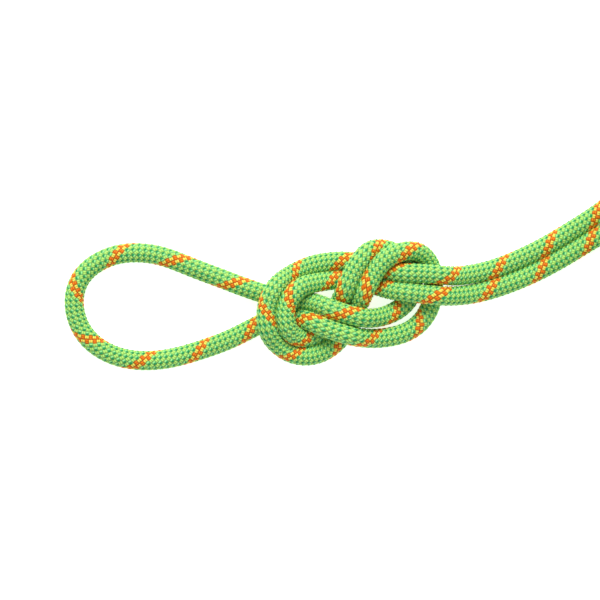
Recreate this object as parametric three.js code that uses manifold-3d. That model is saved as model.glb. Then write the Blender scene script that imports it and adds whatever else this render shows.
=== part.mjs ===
// A 9.8 mm kernmantle dynamic rope, tied near one end in a figure-eight on a bight.
// The knot and its loop lie flat, the short tail ends beside them, and the rest of the
// rope is folded into a strapped hank in line with the knot. Millimetres, +Z up.

import * as THREE from 'three';
import { mergeVertices } from 'three/addons/utils/BufferGeometryUtils.js';
import Module from 'manifold-3d';

const wasm = await Module();
wasm.setup();

// ---- driving dimensions ----

const ROPE_D = 9.8;
const ROPE_R = ROPE_D / 2;
const GAP = 0.3; // between pieces that touch

const SHEATH_BORE_R = 4.1;
const SHEATH_SIDES = 10;
const CORE_STRANDS = 6; // round the middle one
const CORE_RING_PLACES = 7; // the seventh place holds the tape
const CORE_RING_R = 2.25;
const CORE_STRAND_R = 0.8;
const MIDDLE_STRAND_R = 1.0;
const STRAND_SIDES = 4;
const TAPE_WIDTH = 1.6;
const TAPE_THICK = 0.2;
const TUBE_STEPS = 116;

const CONTACT = 9.35; // centre to centre where strands press on each other in the knot
const SETTLE_STEP = 3;
const SETTLE_ROUNDS = 400;
const SETTLE_FREE = 21.6; // lengths of rope nearer than this don't press on each other
const PRESS = 0.2; // the share of each round: strands that overlap, apart
const HOLD = 0.03; // back to the route in plan
const SINK = 0.003; // down onto the surface
const STIFFEN = 0.06; // against sharp bends
const SLEEVE_REST = 4; // the rope rests on its sleeve this far beyond it

const FUSED_LENGTH = 3;
const SLEEVE_LENGTH = 26;
const SLEEVE_WALL = 0.6;
const SLEEVE_CLEAR = 0.5;
const SLEEVE_R = ROPE_R + SLEEVE_CLEAR + SLEEVE_WALL;
const SLEEVE_SIDES = 16;
const SLEEVE_STEPS = 6;
const FUSED_R = ROPE_R - 0.2;
const FUSED_NOSE = 1;

const HANK_LENGTH = 310;
const HANK_WIDTH = 151;
const HANK_HEIGHT = 80;
const HANK_EDGE = 14; // rounding of its upper and lower edges
const HANK_AT = [320, 7]; // its middle, from the middle of the knot
const LOBE_OPENING = THREE.MathUtils.degToRad(78); // where its sides leave the round end loops
const LOBE_LEAN = 0.35; // of the loops' radius: how gently the sides leave them
const SHOULDER = 4; // how much the sides swell before they draw in
const WAIST_REACH = 34; // how far the waist's curve reaches along it
const WAIST_WIDTH = 119; // under the strap
const WAIST_CORNER = 26;
const STRAP_WIDTH = 25;
const STRAP_THICK = 1.8;
const LEAD_IN = 38; // how much of the first turn the hank's outline takes in
const LEAD_IN_TURN = THREE.MathUtils.degToRad(125);
const LEAD_IN_ROOT = 20; // how far it runs on inside the hank
const END_AT = [64, 20.2]; // the rope's other end, from the middle of the hank
const END_SLANT = THREE.MathUtils.degToRad(19.5);
const END_POCKET = [46, 14, 13];
const POCKET_BEYOND = 4; // room past the fused tip
const CHANNEL_BEYOND = 10; // how far the cuts run out past the hank

// The rope's middle line from the tail's end, through the knot, round the loop and back.
// Points are from the middle of the knot. Heights are only high or low, and the settling
// below brings the strands to rest on each other.
const ROUTE = [
  [176, 76, 6], [170, 64, 6], [161, 53, 6], [150, 44, 5], [121, 26, 6], [95, 15, 5],
  // over the arch, under the two diagonals
  [77, 12, 9], [64, 13, 14], [50, 14, 12], [38, 17, 5], [16, 19, 5],
  // outer wrap, over the legs of the loop
  [-2, 14, 6], [-12, 6, 13], [-17, -7, 13], [-14, -19, 10], [-3, -27, 5], [11, -26, 5],
  // under the middle strands, right diagonal, outer arch
  [23, -15, 5], [30, -1, 8], [35, 10, 14], [44, 21, 15], [57, 24, 12], [66, 16, 5], [66, -1, 5],
  // lower middle strand, over the wraps' feet and under their left side
  [57, -14, 5], [41, -19, 6], [27, -18, 13], [13, -14, 14], [1, -10, 7], [-13, -10, 5],
  // the loop
  [-41, -22, 5], [-71, -30, 5], [-92, -28, 5], [-107, -18, 5], [-113, -2, 5],
  [-109, 12, 5], [-94, 22, 5], [-74, 23, 5], [-48, 14, 5], [-17, 3, 5],
  // upper middle strand
  [2, 0, 5], [15, -4, 13], [28, -8, 14], [42, -8, 7], [53, -1, 5],
  // inner arch and left diagonal
  [56, 13, 5], [47, 24, 5], [35, 24, 12], [26, 13, 14], [21, 2, 9],
  // inner wrap
  [15, -11, 5], [4, -19, 6], [-6, -14, 13], [-6, 0, 14], [5, 8, 10], [19, 10, 5], [35, 8, 5],
  // over the arch again and out to the hank
  [48, 5, 11], [61, 3, 13], [74, 2, 11], [91, 4, 5], [118, 14, 5], [150, 32.4, 5],
].map(([x, y, z]) => new THREE.Vector3(x, y, z));

// ---- materials ----

const lime = new THREE.MeshStandardMaterial({ color: 0x9be05f, roughness: 0.85 });
const white = new THREE.MeshStandardMaterial({ color: 0xf2f1ea, roughness: 0.8 });
const film = new THREE.MeshStandardMaterial({ color: 0xe8d34a, roughness: 0.35 });
const melted = new THREE.MeshStandardMaterial({ color: 0x6fae4a, roughness: 0.3 });
const shrink = new THREE.MeshStandardMaterial({ color: 0x2b2d2f, roughness: 0.45 });
const webbing = new THREE.MeshStandardMaterial({ color: 0x303438, roughness: 0.9 });

const object = new THREE.Group();

function add(name, geometry, material) {
  const mesh = new THREE.Mesh(geometry, material);
  mesh.name = name;
  object.add(mesh);
  return mesh;
}

// ---- the line the rope follows ----

/** The strands push each other apart to a rope's thickness, held to the route in plan. */
function settle(points) {
  const length = new THREE.CatmullRomCurve3(points, false, 'centripetal').getLength();
  const count = Math.round(length / SETTLE_STEP);
  const home = new THREE.CatmullRomCurve3(points, false, 'centripetal').getSpacedPoints(count);
  const line = home.map((p) => p.clone());
  const far = Math.ceil(SETTLE_FREE / SETTLE_STEP);
  const between = new THREE.Vector3();
  for (let round = 0; round < SETTLE_ROUNDS; round++) {
    const push = line.map(() => new THREE.Vector3());
    for (let i = 0; i < line.length; i++) {
      for (let j = i + far; j < line.length; j++) {
        between.subVectors(line[j], line[i]);
        const gap = between.length();
        if (gap >= CONTACT) continue;
        between.multiplyScalar(PRESS * (CONTACT / gap - 1));
        push[i].sub(between);
        push[j].add(between);
      }
    }
    line.forEach((p, i) => {
      push[i].x += HOLD * (home[i].x - p.x);
      push[i].y += HOLD * (home[i].y - p.y);
      push[i].z -= SINK * (p.z - ROPE_R);
    });
    line.forEach((p, i) => p.add(push[i]));
    const bend = line.map((p, i) => {
      if (i < 2 || i > line.length - 3) return new THREE.Vector3();
      return new THREE.Vector3()
        .add(line[i - 2])
        .addScaledVector(line[i - 1], -4)
        .addScaledVector(p, 6)
        .addScaledVector(line[i + 1], -4)
        .add(line[i + 2]);
    });
    line.forEach((p, i) => p.addScaledVector(bend[i], -STIFFEN));
    line.forEach((p, i) => {
      p.z = Math.max(p.z, i * SETTLE_STEP < SLEEVE_LENGTH + SLEEVE_REST ? SLEEVE_R : ROPE_R);
    });
  }
  return line;
}

/** The stretch from one distance along the rope to another, as a curve. */
function stretch(curve, from, to) {
  const length = curve.getLength();
  const count = Math.max(2, Math.round((to - from) / 2));
  const points = [];
  for (let k = 0; k <= count; k++) points.push(curve.getPointAt((from + ((to - from) * k) / count) / length));
  return new THREE.CatmullRomCurve3(points, false, 'centripetal');
}

// The first turn leaves the knot's line straight for the hank's outer turn.
const hankX = HANK_AT[0];
const hankY = HANK_AT[1];
const lobeR = HANK_WIDTH / 2;
const lobeX = HANK_LENGTH / 2 - lobeR;
const outerTurnR = lobeR - ROPE_R;
const tangent = new THREE.Vector3(Math.sin(LEAD_IN_TURN), -Math.cos(LEAD_IN_TURN), 0);
const touch = new THREE.Vector3(
  hankX - lobeX + outerTurnR * Math.cos(LEAD_IN_TURN),
  hankY + outerTurnR * Math.sin(LEAD_IN_TURN),
  ROPE_R,
);
const entry = touch.clone().addScaledVector(tangent, -LEAD_IN - GAP);
const route = [...ROUTE, entry.clone().addScaledVector(tangent, -6), entry];

const settled = new THREE.CatmullRomCurve3(settle(route), false, 'centripetal');
settled.arcLengthDivisions = 4000;
const ropeLength = settled.getLength();
const tube = stretch(settled, FUSED_LENGTH + GAP, ropeLength);
tube.arcLengthDivisions = 4000;

// ---- sheath, core and tape of the tied stretch ----

function ringOf(radius, sides, x = 0, y = 0) {
  const points = [];
  for (let k = 0; k < sides; k++) {
    const a = ((k + 0.5) / sides) * Math.PI * 2;
    points.push(new THREE.Vector2(x + radius * Math.cos(a), y + radius * Math.sin(a)));
  }
  return points;
}

function along(path, shape, steps) {
  return new THREE.ExtrudeGeometry(shape, { steps, bevelEnabled: false, extrudePath: path });
}

const sheathSection = new THREE.Shape(ringOf(ROPE_R, SHEATH_SIDES));
sheathSection.holes.push(new THREE.Path(ringOf(SHEATH_BORE_R, SHEATH_SIDES)));
add('sheath', along(tube, sheathSection, TUBE_STEPS), lime);

add('core_strand_middle', along(tube, new THREE.Shape(ringOf(MIDDLE_STRAND_R, STRAND_SIDES)), TUBE_STEPS), white);
for (let k = 1; k <= CORE_STRANDS; k++) {
  const a = (k / CORE_RING_PLACES) * Math.PI * 2;
  const section = ringOf(CORE_STRAND_R, STRAND_SIDES, CORE_RING_R * Math.cos(a), CORE_RING_R * Math.sin(a));
  add(`core_strand_${k}`, along(tube, new THREE.Shape(section), TUBE_STEPS), white);
}

const tapeSection = new THREE.Shape();
tapeSection.moveTo(CORE_RING_R - TAPE_THICK / 2, -TAPE_WIDTH / 2);
tapeSection.lineTo(CORE_RING_R + TAPE_THICK / 2, -TAPE_WIDTH / 2);
tapeSection.lineTo(CORE_RING_R + TAPE_THICK / 2, TAPE_WIDTH / 2);
tapeSection.lineTo(CORE_RING_R - TAPE_THICK / 2, TAPE_WIDTH / 2);
tapeSection.closePath();
add('marker_tape', along(tube, tapeSection, TUBE_STEPS), film);

// ---- the two ends: sheath and core fused together, under a shrink sleeve ----

/** A fused tip of the rope: a short plug with a rounded nose, its nose towards -Z. */
function fusedTip() {
  const profile = [
    new THREE.Vector2(0, -FUSED_LENGTH),
    new THREE.Vector2(FUSED_R - FUSED_NOSE, -FUSED_LENGTH),
    new THREE.Vector2(FUSED_R - 0.3 * FUSED_NOSE, -FUSED_LENGTH + 0.4 * FUSED_NOSE),
    new THREE.Vector2(FUSED_R, -FUSED_LENGTH + FUSED_NOSE),
    new THREE.Vector2(FUSED_R, 0),
    new THREE.Vector2(0, 0),
  ];
  return new THREE.LatheGeometry(profile, SLEEVE_SIDES);
}

/** A shrink sleeve from one height to another, clear of the rope inside it. */
function sleeve(from, to) {
  const inner = ROPE_R + SLEEVE_CLEAR;
  const profile = [
    new THREE.Vector2(inner, from),
    new THREE.Vector2(SLEEVE_R, from),
    new THREE.Vector2(SLEEVE_R, to - 1),
    new THREE.Vector2(SLEEVE_R - 0.3, to),
    new THREE.Vector2(inner, to),
    new THREE.Vector2(inner, from),
  ];
  return new THREE.LatheGeometry(profile, SLEEVE_SIDES);
}

/** Puts a lathed piece, turned about its own Z, at a point with its Z along a direction. */
function lay(mesh, point, direction) {
  mesh.geometry.rotateX(Math.PI / 2);
  mesh.position.copy(point);
  mesh.quaternion.setFromUnitVectors(new THREE.Vector3(0, 0, 1), direction.clone().normalize());
}

const tailIn = settled.getTangentAt(0.001);
const tailPlug = settled.getPointAt(FUSED_LENGTH / ropeLength);
lay(add('fused_end_tail', fusedTip(), melted), tailPlug, tailIn);
const tailSleeve = stretch(settled, 1, SLEEVE_LENGTH + 1);
const sleeveSection = new THREE.Shape(ringOf(SLEEVE_R, SLEEVE_SIDES));
sleeveSection.holes.push(new THREE.Path(ringOf(ROPE_R + SLEEVE_CLEAR, SLEEVE_SIDES)));
add('end_sleeve_tail', along(tailSleeve, sleeveSection, SLEEVE_STEPS), shrink);

const tip = new THREE.Vector3(hankX + END_AT[0], hankY + END_AT[1], HANK_HEIGHT - SLEEVE_R);
const backwards = new THREE.Vector3(-Math.cos(END_SLANT), -Math.sin(END_SLANT), 0);
lay(add('fused_end_hank', fusedTip(), melted), tip, backwards);
lay(add('end_sleeve_hank', sleeve(GAP, SLEEVE_LENGTH), shrink), tip, backwards);

// ---- the hank ----

function solid(geometry) {
  geometry.deleteAttribute('normal');
  geometry.deleteAttribute('uv');
  const merged = mergeVertices(geometry, 1e-4);
  return new wasm.Manifold(
    new wasm.Mesh({
      numProp: 3,
      vertProperties: new Float32Array(merged.attributes.position.array),
      triVerts: new Uint32Array(merged.index.array),
    }),
  );
}

function geometryOf(body) {
  const mesh = body.getMesh();
  const geometry = new THREE.BufferGeometry();
  geometry.setAttribute('position', new THREE.BufferAttribute(mesh.vertProperties, 3));
  geometry.setIndex(new THREE.BufferAttribute(mesh.triVerts, 1));
  return geometry;
}

function box(x0, x1, y0, y1, z0, z1) {
  const geometry = new THREE.BoxGeometry(x1 - x0, y1 - y0, z1 - z0);
  geometry.translate((x0 + x1) / 2, (y0 + y1) / 2, (z0 + z1) / 2);
  return solid(geometry);
}

/** A rounded rectangle about the middle of the hank's section, across Y and up Z. */
function roundedSection(width, height, corner) {
  const w = width / 2;
  const h = height / 2;
  const shape = new THREE.Shape();
  shape.moveTo(w, -h + corner);
  shape.lineTo(w, h - corner);
  shape.absarc(w - corner, h - corner, corner, 0, Math.PI / 2);
  shape.lineTo(-w + corner, h);
  shape.absarc(-w + corner, h - corner, corner, Math.PI / 2, Math.PI);
  shape.lineTo(-w, -h + corner);
  shape.absarc(-w + corner, -h + corner, corner, Math.PI, 1.5 * Math.PI);
  shape.lineTo(w - corner, -h);
  shape.absarc(w - corner, -h + corner, corner, 1.5 * Math.PI, 2 * Math.PI);
  return shape;
}

/** A prism of a section of the hank, a given length along X, about the strap's middle. */
function prism(shape, length) {
  const geometry = new THREE.ExtrudeGeometry(shape, { depth: length, bevelEnabled: false, curveSegments: 6 });
  geometry.translate(0, 0, -length / 2);
  geometry.rotateX(Math.PI / 2);
  geometry.rotateZ(Math.PI / 2);
  geometry.translate(hankX, hankY, HANK_HEIGHT / 2);
  return geometry;
}

/** The outline from above: two round end loops, drawn in at the waist. */
function hankOutline(inset) {
  const r = lobeR - inset;
  const waist = WAIST_WIDTH / 2 - inset;
  const shape = new THREE.Shape();
  shape.absarc(lobeX, 0, r, -LOBE_OPENING, LOBE_OPENING);
  const lean = r * LOBE_LEAN;
  const tx = lobeX + r * Math.cos(LOBE_OPENING);
  const ty = r * Math.sin(LOBE_OPENING);
  shape.bezierCurveTo(tx - lean, ty + SHOULDER, WAIST_REACH, waist, 0, waist);
  shape.bezierCurveTo(-WAIST_REACH, waist, -tx + lean, ty + SHOULDER, -tx, ty);
  shape.absarc(-lobeX, 0, r, Math.PI - LOBE_OPENING, Math.PI + LOBE_OPENING);
  shape.bezierCurveTo(-tx + lean, -ty - SHOULDER, -WAIST_REACH, -waist, 0, -waist);
  shape.bezierCurveTo(WAIST_REACH, -waist, tx - lean, -ty - SHOULDER, tx, -ty);
  return shape;
}

const hankBody = new THREE.ExtrudeGeometry(hankOutline(HANK_EDGE), {
  depth: HANK_HEIGHT - 2 * HANK_EDGE,
  bevelThickness: HANK_EDGE,
  bevelSize: HANK_EDGE,
  bevelSegments: 2,
  curveSegments: 9,
});
hankBody.translate(hankX, hankY, HANK_EDGE);

const leadIn = new THREE.BoxGeometry(LEAD_IN + LEAD_IN_ROOT, ROPE_D, ROPE_D);
leadIn.translate((LEAD_IN_ROOT - LEAD_IN) / 2, 0, 0);
leadIn.rotateZ(Math.atan2(tangent.y, tangent.x));
leadIn.translate(touch.x, touch.y, touch.z);

const underStrap = prism(
  roundedSection(WAIST_WIDTH, HANK_HEIGHT - 2 * STRAP_THICK - 2 * GAP, WAIST_CORNER),
  STRAP_WIDTH + CHANNEL_BEYOND,
);
const strapChannel = box(
  hankX - STRAP_WIDTH / 2 - GAP, hankX + STRAP_WIDTH / 2 + GAP,
  hankY - HANK_WIDTH, hankY + HANK_WIDTH, -CHANNEL_BEYOND, HANK_HEIGHT + CHANNEL_BEYOND,
).subtract(solid(underStrap));
const pocket = new THREE.BoxGeometry(...END_POCKET);
pocket.translate(-END_POCKET[0] / 2 + FUSED_LENGTH + POCKET_BEYOND, 0, END_POCKET[2] / 2 - SLEEVE_R - GAP);
pocket.rotateZ(END_SLANT);
pocket.translate(tip.x, tip.y, tip.z);
const hank = solid(hankBody).add(solid(leadIn)).subtract(strapChannel).subtract(solid(pocket));
add('hank', geometryOf(hank), lime);

// ---- the strap that holds the hank ----

const strapOuter = roundedSection(
  WAIST_WIDTH + 2 * STRAP_THICK + 2 * GAP,
  HANK_HEIGHT,
  WAIST_CORNER + STRAP_THICK + GAP,
);
const strapInner = roundedSection(WAIST_WIDTH + 2 * GAP, HANK_HEIGHT - 2 * STRAP_THICK, WAIST_CORNER + GAP);
strapOuter.holes.push(new THREE.Path(strapInner.getPoints(6)));
add('hank_strap', prism(strapOuter, STRAP_WIDTH), webbing);

// ---- the origin: on the surface the rope lies on, below the middle of its outline ----

const extent = new THREE.Box3().setFromObject(object, true);
const middle = extent.getCenter(new THREE.Vector3());
object.position.set(-middle.x, -middle.y, -extent.min.z);
object.updateMatrixWorld(true);

export default object;
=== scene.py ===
import math

import bpy
import numpy as np
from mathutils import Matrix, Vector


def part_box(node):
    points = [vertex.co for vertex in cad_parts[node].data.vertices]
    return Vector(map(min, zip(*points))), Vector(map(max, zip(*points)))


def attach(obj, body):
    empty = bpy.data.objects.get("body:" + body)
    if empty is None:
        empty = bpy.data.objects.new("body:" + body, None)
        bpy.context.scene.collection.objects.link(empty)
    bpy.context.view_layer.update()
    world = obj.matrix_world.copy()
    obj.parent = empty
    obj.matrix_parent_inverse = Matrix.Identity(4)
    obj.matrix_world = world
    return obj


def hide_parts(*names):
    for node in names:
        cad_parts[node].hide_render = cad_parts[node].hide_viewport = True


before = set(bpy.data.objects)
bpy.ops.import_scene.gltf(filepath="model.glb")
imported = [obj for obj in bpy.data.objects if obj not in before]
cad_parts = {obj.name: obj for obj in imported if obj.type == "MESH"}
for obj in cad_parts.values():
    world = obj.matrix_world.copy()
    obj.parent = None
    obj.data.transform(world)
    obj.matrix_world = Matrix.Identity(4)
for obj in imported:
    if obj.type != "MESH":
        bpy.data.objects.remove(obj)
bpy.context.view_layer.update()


# ------------------------ table, light and camera
# The knot lies flat on a plain white table under a wide soft light that comes from
# beyond it, and is looked at from straight above, its loop to the left.

strap_low, strap_high = (np.array(c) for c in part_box("hank_strap"))
HANK_FROM_KNOT = np.array([0.320, 0.007])  # the hank's middle, from the knot's
KNOT = np.array([*((strap_low + strap_high)[:2] / 2 - HANK_FROM_KNOT), 0.0])

scene = bpy.context.scene
scene.view_settings.view_transform = "Standard"

VIEW_WIDTH = 0.300  # how much is seen from side to side, at the height of the ropes' middles
VIEW_HEIGHT = 2.5
ROPES_HEIGHT = 0.006
camera = bpy.data.objects.new("camera", bpy.data.cameras.new("camera"))
camera.data.sensor_width = 36
camera.data.lens = camera.data.sensor_width * (VIEW_HEIGHT - ROPES_HEIGHT) / VIEW_WIDTH
camera.location = (KNOT[0], KNOT[1], VIEW_HEIGHT)
camera.data.clip_end = 20
scene.collection.objects.link(camera)
scene.camera = camera


def new_material(name):
    """A material with a Principled shader, its node tree and that shader."""
    material = bpy.data.materials.new(name)
    material.use_nodes = True
    tree = material.node_tree
    shader = next(n for n in tree.nodes if n.type == "BSDF_PRINCIPLED")
    return material, tree, shader


def dial(node, values):
    """Sets inputs of a node, by their names, to constant values."""
    for name, value in values.items():
        node.inputs[name].default_value = value


TABLE_HALF = 6.0
table_mesh = bpy.data.meshes.new("table")
table_corners = [(x * TABLE_HALF, y * TABLE_HALF, 0) for x, y in ((-1, -1), (1, -1), (1, 1), (-1, 1))]
table_mesh.from_pydata(table_corners, [], [(0, 1, 2, 3)])
table = bpy.data.objects.new("table", table_mesh)
scene.collection.objects.link(table)
table_paint, _, table_shader = new_material("table_white")
dial(table_shader, {"Base Color": (0.92, 0.92, 0.92, 1), "Roughness": 0.9, "Specular IOR Level": 0.1,
                    "Emission Color": (1, 1, 1, 1), "Emission Strength": 0.7})  # it is a light table
table_mesh.materials.append(table_paint)

world = bpy.data.worlds.new("studio")
world.use_nodes = True
dial(world.node_tree.nodes["Background"], {"Color": (1, 1, 1, 1), "Strength": 0.55})
scene.world = world
for name, towards, strength, softness in (
    ("key", (0.10, -0.95, -1.0), 2.75, 30),
    ("fill", (-0.6, 0.5, -1.0), 0.2, 90),
):
    sun = bpy.data.lights.new(name, "SUN")
    sun.energy = strength
    sun.angle = math.radians(softness)
    lamp = bpy.data.objects.new(name, sun)
    direction = np.array(towards) / np.linalg.norm(towards)
    lamp.rotation_euler = (math.acos(-direction[2]), 0, math.atan2(-direction[0], direction[1]))
    scene.collection.objects.link(lamp)


# ------------------------ the line the rope follows
# One rope lies in the whole knot: in from the tail, round the figure eight, out to the
# loop, back through the same path and on to the hank. Its strands press on each other.

MM = 0.001
ROPE_D = 9.8
ROPE_R = ROPE_D / 2
GAP = 0.3  # between pieces that touch
CONTACT = 9.35  # centre to centre where strands press on each other
SETTLE_STEP = 3.0
SETTLE_ROUNDS = 400
SETTLE_FREE = 21.6  # lengths of rope nearer than this don't press on each other
PRESS = 0.2  # how far each round pushes strands apart that overlap,
HOLD = 0.03  # takes the line back to its route in plan,
SINK = 0.003  # lets it down to the table
STIFFEN = 0.06  # and straightens its bends
SLEEVE_LENGTH = 26.0
SLEEVE_R = 6.0
SLEEVE_REST = 4.0  # the rope rests on its sleeve this far beyond it
HANK_WIDTH = 151.0
HANK_LENGTH = 310.0
LEAD_IN = 38.0  # how much of the hank's first turn runs straight up to it
LEAD_IN_TURN = math.radians(125)
STRAIGHT_IN = 6.0  # and this much of the tied stretch with it
LINE_STEP = 0.5
LOBE_X = (HANK_LENGTH - HANK_WIDTH) / 2
OUTER_TURN_R = HANK_WIDTH / 2 - ROPE_R

ROUTE = [
    [176, 76, 6], [170, 64, 6], [161, 53, 6], [150, 44, 5], [121, 26, 6], [95, 15, 5],
    # over the arch, under the two diagonals
    [77, 12, 9], [64, 13, 14], [50, 14, 12], [38, 17, 5], [16, 19, 5],
    # outer wrap, over the legs of the loop
    [-2, 14, 6], [-12, 6, 13], [-17, -7, 13], [-14, -19, 10], [-3, -27, 5], [11, -26, 5],
    # under the middle strands, right diagonal, outer arch
    [23, -15, 5], [30, -1, 8], [35, 10, 14], [44, 21, 15], [57, 24, 12], [66, 16, 5], [66, -1, 5],
    # lower middle strand, over the wraps' feet and under their left side
    [57, -14, 5], [41, -19, 6], [27, -18, 13], [13, -14, 14], [1, -10, 7], [-13, -10, 5],
    # the loop
    [-41, -22, 5], [-71, -30, 5], [-92, -28, 5], [-107, -18, 5], [-113, -2, 5],
    [-109, 12, 5], [-94, 22, 5], [-74, 23, 5], [-48, 14, 5], [-17, 3, 5],
    # upper middle strand
    [2, 0, 5], [15, -4, 13], [28, -8, 14], [42, -8, 7], [53, -1, 5],
    # inner arch and left diagonal
    [56, 13, 5], [47, 24, 5], [35, 24, 12], [26, 13, 14], [21, 2, 9],
    # inner wrap
    [15, -11, 5], [4, -19, 6], [-6, -14, 13], [-6, 0, 14], [5, 8, 10], [19, 10, 5], [35, 8, 5],
    # over the arch again and out to the hank
    [48, 5, 11], [61, 3, 13], [74, 2, 11], [91, 4, 5], [118, 14, 5], [150, 32.4, 5],
]


def smooth_line(points, cuts):
    """A centripetal Catmull-Rom line through the points."""
    points = np.asarray(points, float)
    ends = np.vstack([2 * points[0] - points[1], points, 2 * points[-1] - points[-2]])
    t = (np.arange(cuts) / cuts)[:, None]
    out = []
    for p0, p1, p2, p3 in zip(ends, ends[1:], ends[2:], ends[3:]):
        d0, d1, d2 = (np.sum((q - p) ** 2) ** 0.25 for p, q in ((p0, p1), (p1, p2), (p2, p3)))
        leave = ((p1 - p0) / d0 - (p2 - p0) / (d0 + d1) + (p2 - p1) / d1) * d1
        reach = ((p2 - p1) / d1 - (p3 - p1) / (d1 + d2) + (p3 - p2) / d2) * d1
        squared, cubed = 3 * (p2 - p1) - 2 * leave - reach, 2 * (p1 - p2) + leave + reach
        out.append(p1 + leave * t + squared * t ** 2 + cubed * t ** 3)
    return np.vstack([*out, points[-1:]])


def distances(line):
    return np.concatenate([[0], np.cumsum(np.linalg.norm(np.diff(line, axis=0), axis=1))])


def at_distances(line, where):
    along = distances(line)
    return np.column_stack([np.interp(where, along, line[:, k]) for k in range(3)])


def evenly(line, step):
    length = distances(line)[-1]
    return at_distances(line, np.linspace(0, length, int(round(length / step)) + 1))


def settle(route):
    """The strands push each other apart to a rope's thickness, held to the route in plan."""
    home = evenly(smooth_line(route, 24), SETTLE_STEP)
    line = home.copy()
    count = len(line)
    one, other = np.triu_indices(count, math.ceil(SETTLE_FREE / SETTLE_STEP))
    sleeved = np.arange(count) * SETTLE_STEP < SLEEVE_LENGTH + SLEEVE_REST
    lowest = np.where(sleeved, SLEEVE_R, ROPE_R)
    for _ in range(SETTLE_ROUNDS):
        between = line[other] - line[one]
        gap = np.linalg.norm(between, axis=1)
        near = gap < CONTACT
        shove = between[near] * (PRESS * (CONTACT / gap[near] - 1))[:, None]
        push = np.zeros_like(line)
        np.add.at(push, one[near], -shove)
        np.add.at(push, other[near], shove)
        push[:, :2] += HOLD * (home - line)[:, :2]
        push[:, 2] -= SINK * (line[:, 2] - ROPE_R)
        line += push
        bend = line[:-4] - 4 * line[1:-3] + 6 * line[2:-2] - 4 * line[3:-1] + line[4:]
        line[2:-2] -= STIFFEN * bend
        line[:, 2] = np.maximum(line[:, 2], lowest)
    return line


heading = np.array([math.sin(LEAD_IN_TURN), -math.cos(LEAD_IN_TURN), 0])
touch = np.array([
    HANK_FROM_KNOT[0] / MM - LOBE_X + OUTER_TURN_R * math.cos(LEAD_IN_TURN),
    HANK_FROM_KNOT[1] / MM + OUTER_TURN_R * math.sin(LEAD_IN_TURN),
    ROPE_R,
])
entry = touch - (LEAD_IN + GAP) * heading
whole_route = ROUTE + [list(entry - STRAIGHT_IN * heading), list(entry)]
rope_line = evenly(smooth_line(settle(whole_route), 8), LINE_STEP)
TIED_LENGTH = distances(rope_line)[-1]


# ------------------------ sheath of the tied stretch
# A tube of forty nylon yarns, braided one over one: ten pairs wind each way and cross in
# diamonds. Eight left-hand pairs are teal and lime, two together are orange, and every
# right-hand pair is lime. It is braided round the core and can slide on it.

YARNS = 20  # each way
CUTS = 3  # of a yarn's width, and of its length in a diamond half
ROUND = 2 * YARNS * CUTS  # grid places round the rope, and levels to each pitch
TRACER_YARNS = 4
TUCKED_FROM = 0.34  # of a float's length, from its middle
PITCH = 28.5  # one turn of the tracer
CREST_R = 4.95
RELIEF = 0.62
PAIR_VALLEY = 0.5  # how high the groove between a pair's two yarns stays
BORE_R = 4.1
BORE_SIDES = 12
FUSED_LENGTH = 3.0
PATH_POINTS = 200
ACROSS = 1.0  # how far ahead and behind a direction is taken

# Where the orange tracer comes uppermost, in plan, from the tail on, and how many turns
# it has made since the one before.
TRACER = [
    (148, 42, 1), (124.5, 28, 1), (100, 16, 1), (73.8, 12, 1), (20.5, 20, 2), (-4, 15, 1),
    (-17.5, -6, 1), (-2, -27, 1), (20.5, -23.5, 1), (33, 7.5, 1), (53.5, 25.5, 1), (60.5, -11, 2),
    (34.5, -19, 1), (3.5, -10.5, 1), (-24.5, -15.5, 1), (-50, -25.5, 1), (-78.5, -31, 1),
    (-106, -20, 1), (-112, 5, 1), (-92, 22.5, 1), (-63, 19.5, 1), (-33, 9, 1), (22.5, -5, 2),
    (49.3, -6, 1), (36.5, 26, 2), (20.5, 3.5, 1), (2.5, -20, 1), (-5, 0, 1), (15, 10.5, 1),
    (67.5, 3, 2), (95, 4.5, 1), (120.5, 15, 1), (145.5, 28.5, 1),
]
SEARCH = 95.0  # the next place is never further along the rope than this
TURNS_BEYOND = 4  # even turns of the tracer before the first place and after the last
BEYOND = 80.0  # how far past the ends the turns are eased
EASED_OVER = 36.0


def next_passing(place, after, within):
    """How far along the rope it next passes over or under a place in plan."""
    where = distances(rope_line)
    apart = np.hypot(*(rope_line[:, :2] - place).T)
    apart[(where <= after) | (where > after + within)] = np.inf
    return where[apart.argmin()]


def tracer_turns():
    """Turns of the tracer against distance along the tied stretch, eased from place to place."""
    where = distances(rope_line)
    found, turns, last, total = [], [], 0.0, 0
    for x, y, more in TRACER:
        last = next_passing((x, y), last, SEARCH)
        total += more
        found.append(last)
        turns.append(total)
    found = [found[0] - TURNS_BEYOND * PITCH, *found, found[-1] + TURNS_BEYOND * PITCH]
    turns = [turns[0] - TURNS_BEYOND, *turns, turns[-1] + TURNS_BEYOND]
    step = where[1] - where[0]
    wide = np.arange(-BEYOND, TIED_LENGTH + BEYOND, step)
    even = np.interp(wide, found, turns)
    weight = np.hanning(int(EASED_OVER / step) | 1)
    eased = np.convolve(even, weight / weight.sum(), "same")
    return where, np.interp(where, wide, eased)


turn_where, turn_count = tracer_turns()


def frames(line, where):
    """Middle, upward and left-hand directions of the rope at distances along a line."""
    middle = at_distances(line, where)
    ahead = at_distances(line, np.minimum(where + ACROSS, distances(line)[-1]))
    behind = at_distances(line, np.maximum(where - ACROSS, 0))
    tangent = ahead - behind
    tangent /= np.linalg.norm(tangent, axis=1)[:, None]
    up = np.array([0, 0, 1.0]) - tangent * tangent[:, 2:]
    up /= np.linalg.norm(up, axis=1)[:, None]
    return middle, up, np.cross(up, tangent)


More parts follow.
